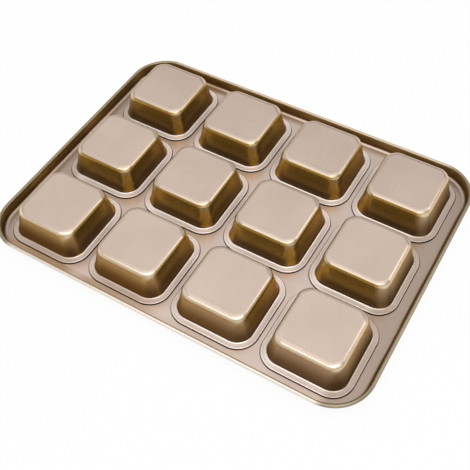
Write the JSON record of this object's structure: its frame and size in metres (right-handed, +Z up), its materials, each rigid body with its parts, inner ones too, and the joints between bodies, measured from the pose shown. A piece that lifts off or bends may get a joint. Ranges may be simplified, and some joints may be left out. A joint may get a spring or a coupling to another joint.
{
  "type": "square muffin pan",
  "caption": "Baking pan with square drawn cups locked into one frame sheet that has a skirt and a wired rolled bead, lying upside down",
  "frame": {"origin": "centre of the pan's footprint, on the surface that the cups' flanges rest on while the pan lies upside down", "axes": "+X along the long side, with four cups; +Y along the short side, with three cups; +Z up, out of the cups' floors"},
  "size_m": [0.3776, 0.2856, 0.0298],
  "materials": {
    "coated_sheet": "satin champagne-brown release coating with a metallic fleck",
    "rim_steel": "drawn bare wire"
  },
  "bodies": {
    "root": {"pan_frame": "coated_sheet", "rim_wire": "rim_steel", "cup_row1_col1": "coated_sheet", "cup_row1_col2": "coated_sheet", "cup_row1_col3": "coated_sheet", "cup_row1_col4": "coated_sheet", "cup_row2_col1": "coated_sheet", "cup_row2_col2": "coated_sheet", "cup_row2_col3": "coated_sheet", "cup_row2_col4": "coated_sheet", "cup_row3_col1": "coated_sheet", "cup_row3_col2": "coated_sheet", "cup_row3_col3": "coated_sheet", "cup_row3_col4": "coated_sheet"}
  },
  "joints": []
}
